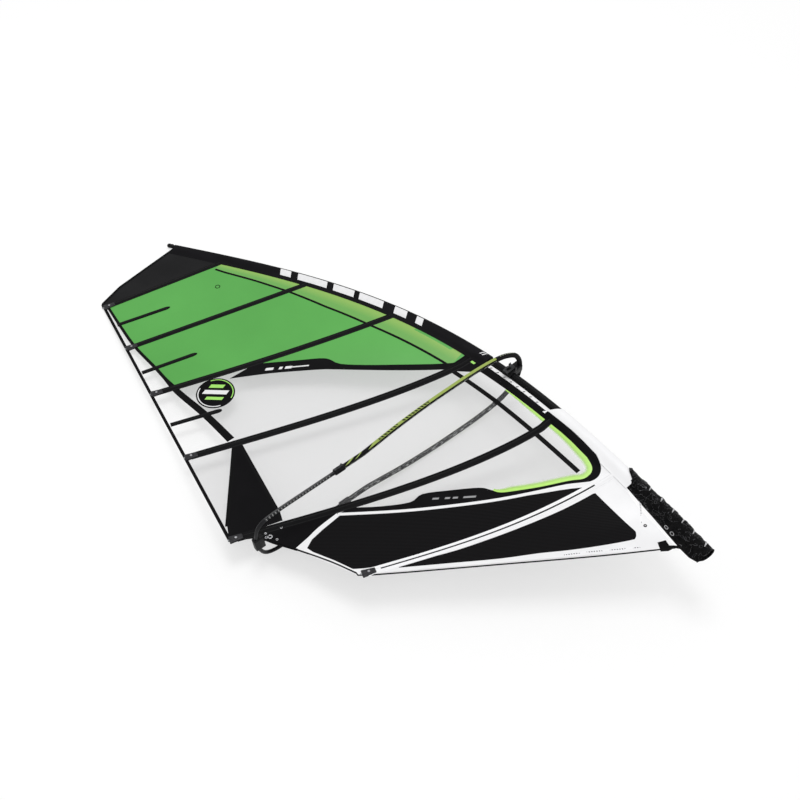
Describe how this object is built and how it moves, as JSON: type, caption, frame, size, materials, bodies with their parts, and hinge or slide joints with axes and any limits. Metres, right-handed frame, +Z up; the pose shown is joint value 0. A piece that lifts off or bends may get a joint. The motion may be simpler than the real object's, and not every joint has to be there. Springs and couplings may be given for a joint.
{
  "type": "windsurf sail",
  "caption": "Rigged windsurf sail with battens, curved mast in a luff sleeve, wishbone boom with clamp head, outhaul and downhaul pulleys.",
  "frame": {"origin": "centre of the footprint of the rig, on the floor that it lies on", "axes": "+X along the sail from its head to its foot, +Y from the leech to the mast, +Z up from the floor"},
  "size_m": [4.7272, 2.2496, 0.5413],
  "materials": {
    "black_cloth": "satin black laminate",
    "green_film": "glossy green film",
    "clear_film": "glossy clear film",
    "white_laminate": "satin white laminate with threads",
    "batten_rod": "pultruded rod",
    "mast_tube": "satin carbon composite",
    "lime_grip": "lime foam grip on a composite tube",
    "black_grip": "black foam grip on a composite tube",
    "dark_tube": "dark satin tube with locking holes",
    "black_plastic": "moulded black nylon",
    "grey_plastic": "moulded grey nylon",
    "bright_tube": "anodised tube",
    "steel_ring": "pressed ring",
    "soft_cover": "padded black neoprene",
    "black_line": "braided black line"
  },
  "bodies": {
    "root": {"head_panel": "black_cloth", "upper_panel": "green_film", "green_panel": "green_film", "middle_panel": "green_film", "middle_window": "clear_film", "main_window": "clear_film", "leech_panel": "black_cloth", "cutout_edge": "white_laminate", "lower_window": "clear_film", "upper_foot_panel": "black_cloth", "clew_patch": "black_cloth", "lower_foot_panel": "black_cloth", "tack_panel": "white_laminate", "batten_pocket_1": "black_cloth", "batten_pocket_2": "black_cloth", "batten_pocket_3": "black_cloth", "batten_pocket_4": "black_cloth", "batten_pocket_5": "black_cloth", "batten_pocket_6": "white_laminate", "batten_rod_1": "batten_rod", "batten_rod_2": "batten_rod", "batten_rod_3": "batten_rod", "batten_rod_4": "batten_rod", "batten_rod_5": "batten_rod", "batten_rod_6": "batten_rod", "mini_batten_1": "black_cloth", "mini_batten_2": "black_cloth", "mini_batten_3": "black_cloth", "luff_sleeve_upper": "black_cloth", "luff_sleeve_lower": "white_laminate", "mast_bottom": "mast_tube", "mast_top": "mast_tube", "tip_cap": "black_plastic", "boom_front": "black_grip", "arm_upper": "lime_grip", "arm_lower": "lime_grip", "collar_upper": "black_plastic", "collar_lower": "black_plastic", "head_clamp": "black_plastic", "tack_block": "black_plastic", "tack_cover": "soft_cover", "clew_ring": "steel_ring", "outhaul_line": "black_line", "downhaul_line": "black_line"},
    "clamp_lever": {"clamp_lever": "grey_plastic"},
    "clip_upper": {"clip_upper": "grey_plastic"},
    "clip_lower": {"clip_lower": "grey_plastic"},
    "boom_tail": {"tail_tube": "dark_tube", "tail_fitting": "black_plastic"},
    "outhaul_sheave": {"outhaul_sheave": "grey_plastic"},
    "mast_extension": {"extension_tube": "bright_tube", "base_cup": "black_plastic"},
    "base_sheave": {"base_sheave": "grey_plastic"},
    "tack_sheave": {"tack_sheave": "grey_plastic"},
    "batten_tensioner_1": {"batten_tensioner_1": "grey_plastic"},
    "batten_tensioner_2": {"batten_tensioner_2": "grey_plastic"},
    "batten_tensioner_3": {"batten_tensioner_3": "grey_plastic"},
    "batten_tensioner_4": {"batten_tensioner_4": "grey_plastic"},
    "batten_tensioner_5": {"batten_tensioner_5": "grey_plastic"},
    "batten_tensioner_6": {"batten_tensioner_6": "grey_plastic"}
  },
  "joints": [
    {"name": "clamp_lever_swing", "type": "hinge", "parent": "root", "child": "clamp_lever", "pos_m": [0.62595, 1.04162, 0.34219], "axis": [-0.9877, 0.1333, -0.0821], "range_deg": [0, 85]},
    {"name": "clip_upper_swing", "type": "hinge", "parent": "root", "child": "clip_upper", "pos_m": [0.33586, -0.38285, 0.43106], "axis": [-0.9775, 0.1954, -0.0793], "range_deg": [0, 80]},
    {"name": "clip_lower_swing", "type": "hinge", "parent": "root", "child": "clip_lower", "pos_m": [0.37149, -0.37039, 0.0228], "axis": [0.9775, -0.1954, 0.0793], "range_deg": [0, 80]},
    {"name": "boom_tail_slide", "type": "slide", "parent": "root", "child": "boom_tail", "axis": [-0.1922, -0.9802, -0.0467], "range_m": [0, 0.1], "deforming": ["outhaul_line"]},
    {"name": "outhaul_sheave_spin", "type": "hinge", "parent": "boom_tail", "child": "outhaul_sheave", "pos_m": [0.23278, -0.99319, 0.19755], "axis": [-0.9775, 0.1954, -0.0793], "continuous": true},
    {"name": "extension_slide", "type": "slide", "parent": "root", "child": "mast_extension", "axis": [0.9442, -0.3213, 0.0726], "range_m": [0, 0.1], "deforming": ["downhaul_line"]},
    {"name": "base_sheave_spin", "type": "hinge", "parent": "mast_extension", "child": "base_sheave", "pos_m": [2.27137, 0.5254, 0.42181], "axis": [-0.0869, -0.0304, 0.9958], "continuous": true},
    {"name": "tack_sheave_spin", "type": "hinge", "parent": "root", "child": "tack_sheave", "pos_m": [2.07308, 0.59287, 0.40657], "axis": [-0.0869, -0.0304, 0.9958], "continuous": true},
    {"name": "batten_tensioner_1_turn", "type": "hinge", "parent": "root", "child": "batten_tensioner_1", "pos_m": [-2.18207, -0.27995, 0.00859], "axis": [-0.3575, -0.932, -0.0594], "continuous": true},
    {"name": "batten_tensioner_2_turn", "type": "hinge", "parent": "root", "child": "batten_tensioner_2", "pos_m": [-1.70301, -0.45478, 0.04503], "axis": [-0.4112, -0.9095, -0.0613], "continuous": true},
    {"name": "batten_tensioner_3_turn", "type": "hinge", "parent": "root", "child": "batten_tensioner_3", "pos_m": [-1.21398, -0.63365, 0.08209], "axis": [-0.4652, -0.8837, -0.0519], "continuous": true},
    {"name": "batten_tensioner_4_turn", "type": "hinge", "parent": "root", "child": "batten_tensioner_4", "pos_m": [-0.60596, -0.85529, 0.12769], "axis": [-0.4657, -0.8849, 0.0055], "continuous": true},
    {"name": "batten_tensioner_5_turn", "type": "hinge", "parent": "root", "child": "batten_tensioner_5", "pos_m": [0.08176, -1.10596, 0.17937], "axis": [-0.4605, -0.8855, 0.061], "continuous": true},
    {"name": "batten_tensioner_6_turn", "type": "hinge", "parent": "root", "child": "batten_tensioner_6", "pos_m": [0.86337, -0.78219, 0.25751], "axis": [-0.4627, -0.8855, 0.0427], "continuous": true}
  ]
}
